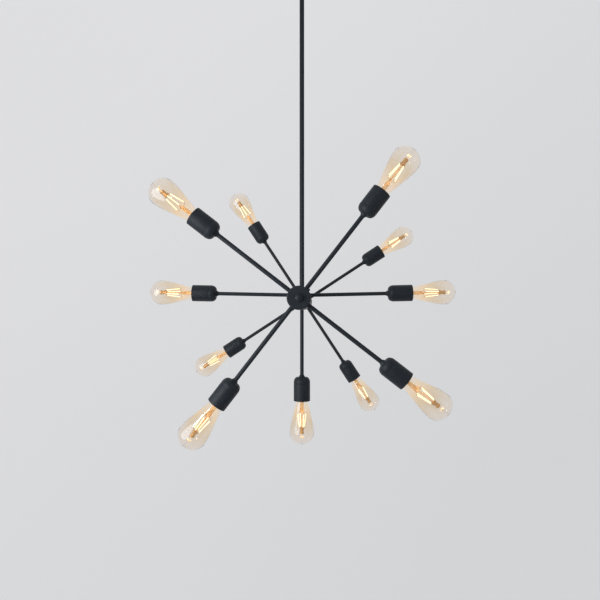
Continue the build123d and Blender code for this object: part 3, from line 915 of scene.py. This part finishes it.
def makeCanopyScrews():
    s = canopyScrew
    level = Matrix.Translation((0, 0, s["height"] * mm))
    places = [level @ Matrix.Rotation(side * 90 * degree, 4, "Y") for side in (-1, 1)]
    return makeScrews("canopyScrews", s, knurlShape(s["knurlDepth"], s["knurls"]), places)


# Green ground screw, hanging head down under the bracket: a hexagon on a flange
groundScrew = {
    "radius": 2.0,
    "low": 8.55,
    "headLow": 16.55,
    "depth": 0.3,
    "pitch": 0.8,
    "head": ((4.0, 16.55), (4.0, 16.95), (3.6, 17.25)),
    "shaped": ((3.4, 17.3), (3.4, 18.55), (2.992, 18.95)),
    "end": ((0, 18.95),),
    "corner": 3.4,
    "sides": 48,
    "across": 18.0,
}


def makeGroundScrew():
    s = groundScrew
    place = Matrix.Translation((s["across"] * mm, 0, 0)) @ Matrix.Rotation(180 * degree, 4, "X")
    return makeScrews("groundScrew", s, hexShape(s["corner"]), [place])


# Cap screws that the stem's knuckle tilts on, one in each cheek of the yoke, with hexagon sockets
pivotScrew = {
    "radius": 2.5,
    "low": 4.0,
    "headLow": 12.05,
    "depth": 0.35,
    "pitch": 0.8,
    "head": ((3.8, 12.05), (4.0, 12.25), (4.0, 13.65), (3.6, 14.05)),
    "shaped": ((1.7, 14.05), (1.7, 12.85)),
    "end": ((0, 12.85),),
    "corner": 1.7,
    "sides": 48,
    "height": -55.0,
}


def makePivotScrews():
    s = pivotScrew
    level = Matrix.Translation((0, 0, s["height"] * mm))
    places = [level @ Matrix.Rotation(side * 90 * degree, 4, "X") for side in (-1, 1)]
    return makeScrews("pivotScrews", s, hexShape(s["corner"]), places)


# Set screw in the hub's front end, with a hexagon socket
setScrew = {
    "radius": 2.0,
    "low": 21.0,
    "headLow": 28.3,
    "depth": 0.3,
    "pitch": 0.7,
    "head": ((1.7, 28.6),),
    "shaped": ((1.2, 28.6), (1.2, 27.0)),
    "end": ((0, 27.0),),
    "corner": 1.2,
    "sides": 48,
    "turn": 37.0,
    "front": 294.0,      # from the middle of the hub
}


def makeSetScrew():
    s = setScrew
    front = Matrix.Translation(hubMiddle + Vector((0, -s["front"] * mm, 0)))
    place = front @ Matrix.Rotation((90 - s["turn"]) * degree, 4, "Y")
    return makeScrews("hubSetScrew", s, hexShape(s["corner"]), [place])


# Two leads that rise out of the threaded tube, turn over the bracket and end in ribbed twist-on connectors
canopyLead = {
    "radius": 1.2,
    "sides": 12,
    "steps": 6,
    "route": ((1.5, 0, -43.1), (1.5, 0, -26), (1.5, 0, -9), (2.0, 1.6, -4.2), (3.2, 5.4, -3.0),
              (5.4, 13.0, -3.0), (7.3, 18.6, -3.6), (8.0, 20.8, -6.8), (8.0, 21.0, -10.5), (8.0, 21.0, -16)),
}
connector = {
    "foot": ((0, -30.5), (2.7, -30.5), (3.2, -30.0)),
    "ribbed": ((3.5, -28.5), (4.6, -17.1)),
    "mouth": ((4.8, -16.1), (5.0, -15.7), (5.0, -13.8), (4.6, -13.5), (3.6, -13.5), (3.2, -16.0), (0, -16.0)),
    "ribs": 10,
    "ribDepth": 0.5,
    "sides": 60,
}


def makeCanopyLeads():
    lead = canopyLead
    ribs = knurlShape(connector["ribDepth"], connector["ribs"])
    line = [*connector["foot"], *((*point, ribs) for point in connector["ribbed"]), *connector["mouth"]]
    mesh = bmesh.new()
    for slot, side in enumerate((-1, 1)):
        route = [(side * x, y, z) for x, y, z in lead["route"]]
        points = [Vector(p) * mm for p in smoothLine(route, lead["steps"])]
        sweep(mesh, points, lead["radius"] * mm, lead["sides"], slot)
        place = Matrix.Translation((route[-1][0] * mm, route[-1][1] * mm, 0))
        lathe(mesh, line, connector["sides"], 2, place=place)
    return finishMesh(mesh, "canopyLeads")


hubLow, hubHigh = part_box("hub_body")
hubMiddle = (hubLow + hubHigh) / 2
mount = "ceiling_mount"
leadFinishes = [leadCover, neutralCover, connectorPlastic]
addPiece("threadedNipple", makeNippleTube(), mount, [zinc], None, ["swivel_nipple"])
addPiece("nippleNuts", makeNippleNuts(), mount, [zinc], None, ["nipple_nuts"])
addPiece("canopyThumbScrews", makeCanopyScrews(), mount, [coat], None, ["canopy_screws"])
addPiece("greenGroundScrew", makeGroundScrew(), mount, [groundPaint], None, ["ground_screw"])
addPiece("canopyLeads", makeCanopyLeads(), mount, leadFinishes, None, ["canopy_wiring"])
addPiece("yokeScrews", makePivotScrews(), "swivel", [coat], None, ["pivot_screws"])
addPiece("hubSetScrew", makeSetScrew(), "pendant", [coat], None, ["hub_set_screw"])
print("ceiling end and screws made")

# Studio: a pale floor far below that curves up into a round wall, with painted light that makes it
# a little brighter at the upper left
studio = {
    "floorHeight": -3.3,
    "wallRadius": 4.2,
    "wallTop": 3.2,
    "bend": 1.4,
    "sides": 96,
    "paint": ("#dadada", "#dddddd"),
    "drift": 4000.0,     # slow change of the paint's tone, mm
    "driftDetail": 1.0,
    # Painted light: the tones the camera sees, lighter at the upper left
    "seen": ("#eeeef0", "#e1e2e4"),
    "fade": (-2.6, 4.4),   # metres along the slant of the painted light, from the upper left to the lower right
    "seenShare": 0.8,
}


def makeWallPaint():
    # Matte emulsion. The camera sees mostly its own grey with painted light on it, a little brighter at
    # the upper left, with some of the real light and shadow left in
    material, tree = startMaterial("studioPaint")
    dark, pale = [linear(code) for code in studio["paint"]]
    left, right = [linear(code) for code in studio["seen"]]
    start, end = studio["fade"]
    place = objectPlace(tree)
    drift = addNoise(tree, place, studio["drift"], studio["driftDetail"])
    shade = mixColours(tree, dark, pale, drift)
    lit = addNode(tree, "BsdfDiffuse", None, {"Color": shade}).outputs["BSDF"]
    apart = addNode(tree, "SeparateXYZ", None, {"Vector": place}).outputs
    # Painted light: the seen tone fades from the upper left to the lower right
    slant = addMath(tree, "SUBTRACT", apart["X"], apart["Z"])
    fade = addNode(tree, "MapRange", {"From Min": start, "From Max": end}, {"Value": slant})
    paintedLightTone = mixColours(tree, left, right, fade.outputs["Result"])
    paintedLightSeen = addNode(tree, "Emission", {"Strength": 1.0}, {"Color": paintedLightTone})
    seen = addNode(tree, "MixShader", {0: studio["seenShare"]}, {1: lit, 2: paintedLightSeen.outputs["Emission"]})
    both = addNode(tree, "MixShader", None, {0: seenDirectly(tree), 1: lit, 2: seen.outputs["Shader"]})
    return endMaterial(material, tree, both.outputs["Shader"])


def makeStudio():
    s = studio
    floor, bend = s["floorHeight"], s["bend"]
    corner = s["wallRadius"] - bend
    profile = [(0, floor), (corner / 2, floor)]
    for turn in roundTurns(90):
        profile.append((corner + bend * math.sin(turn), floor + bend * (1 - math.cos(turn))))
    profile.append((s["wallRadius"], s["wallTop"]))
    mesh = bmesh.new()
    lathe(mesh, [(across / mm, up / mm) for across, up in profile], s["sides"])
    wall = bpy.data.objects.new("studioWall", finishMesh(mesh, "studioWall"))
    wall.data.materials.append(makeWallPaint())
    bpy.context.scene.collection.objects.link(wall)


makeStudio()

# Light: a soft lamp at the left front, a weaker one at the right, a small one that gives each bulb its
# glints, and an even room. Places and sizes are in metres, from the hub's middle. No lamp is seen by the
# camera, and only the small one is seen through glass
softLamps = {
    "leftLamp": {"from": (-1.05, -0.95, -0.05), "size": 1.3, "power": 18.0, "colour": "#f4f8fd",
                 "inGlass": False},
    "rightLamp": {"from": (2.0, -1.4, 0.2), "size": 1.2, "power": 3.0, "colour": "#f4f8ff",
                  "inGlass": False},
    "glintLamp": {"from": (-0.8, -1.3, 0.5), "size": 0.24, "power": 2.2, "colour": "#ffffff",
                  "inGlass": True},
}
for name, lamp in softLamps.items():
    light = bpy.data.lights.new(name, "AREA")
    light.shape = "DISK"
    light.size = lamp["size"]
    light.energy = lamp["power"]
    light.color = linear(lamp["colour"])[:3]
    lampObject = bpy.data.objects.new(name, light)
    lampObject.visible_camera = False
    lampObject.visible_transmission = lamp["inGlass"]
    bpy.context.scene.collection.objects.link(lampObject)
    offset = Vector(lamp["from"])
    lampObject.location = hubMiddle + offset
    lampObject.rotation_mode = "QUATERNION"
    lampObject.rotation_quaternion = (-offset).to_track_quat("-Z", "Y")

air = {"light": "#e9ebee", "strength": 0.62, "seen": "#e1e1e3"}
world = bpy.data.worlds.new("studioAir")
bpy.context.scene.world = world
world.use_nodes = True
tree = world.node_tree
tree.nodes.clear()
roomLight = addNode(tree, "Background", {"Color": linear(air["light"]), "Strength": air["strength"]})
roomSeen = addNode(tree, "Background", {"Color": linear(air["seen"]), "Strength": 1.0})
room = addNode(tree, "MixShader", None, {0: seenDirectly(tree), 1: roomLight.outputs["Background"],
                                         2: roomSeen.outputs["Background"]})
addNode(tree, "OutputWorld", None, {"Surface": room.outputs["Shader"]})

# Camera: square on from the front, level with the hub, a little right of it and below; the lens and the
# sensor's width are in mm, the places in metres from the hub's middle
view = {"lens": 33.83, "sensor": 36.0, "from": (0.0314, -1.45, -0.0239), "aim": (-0.0049, 0.0, 0.0004)}
camera = bpy.data.objects.new("camera", bpy.data.cameras.new("camera"))
bpy.context.scene.collection.objects.link(camera)
camera.data.lens = view["lens"]
camera.data.sensor_width = view["sensor"]
camera.location = hubMiddle + Vector(view["from"])
camera.rotation_mode = "QUATERNION"
camera.rotation_quaternion = (Vector(view["aim"]) - Vector(view["from"])).to_track_quat("-Z", "Y")
bpy.context.scene.camera = camera
bpy.context.scene.view_settings.view_transform = "Standard"
print("studio, lamps and camera made")
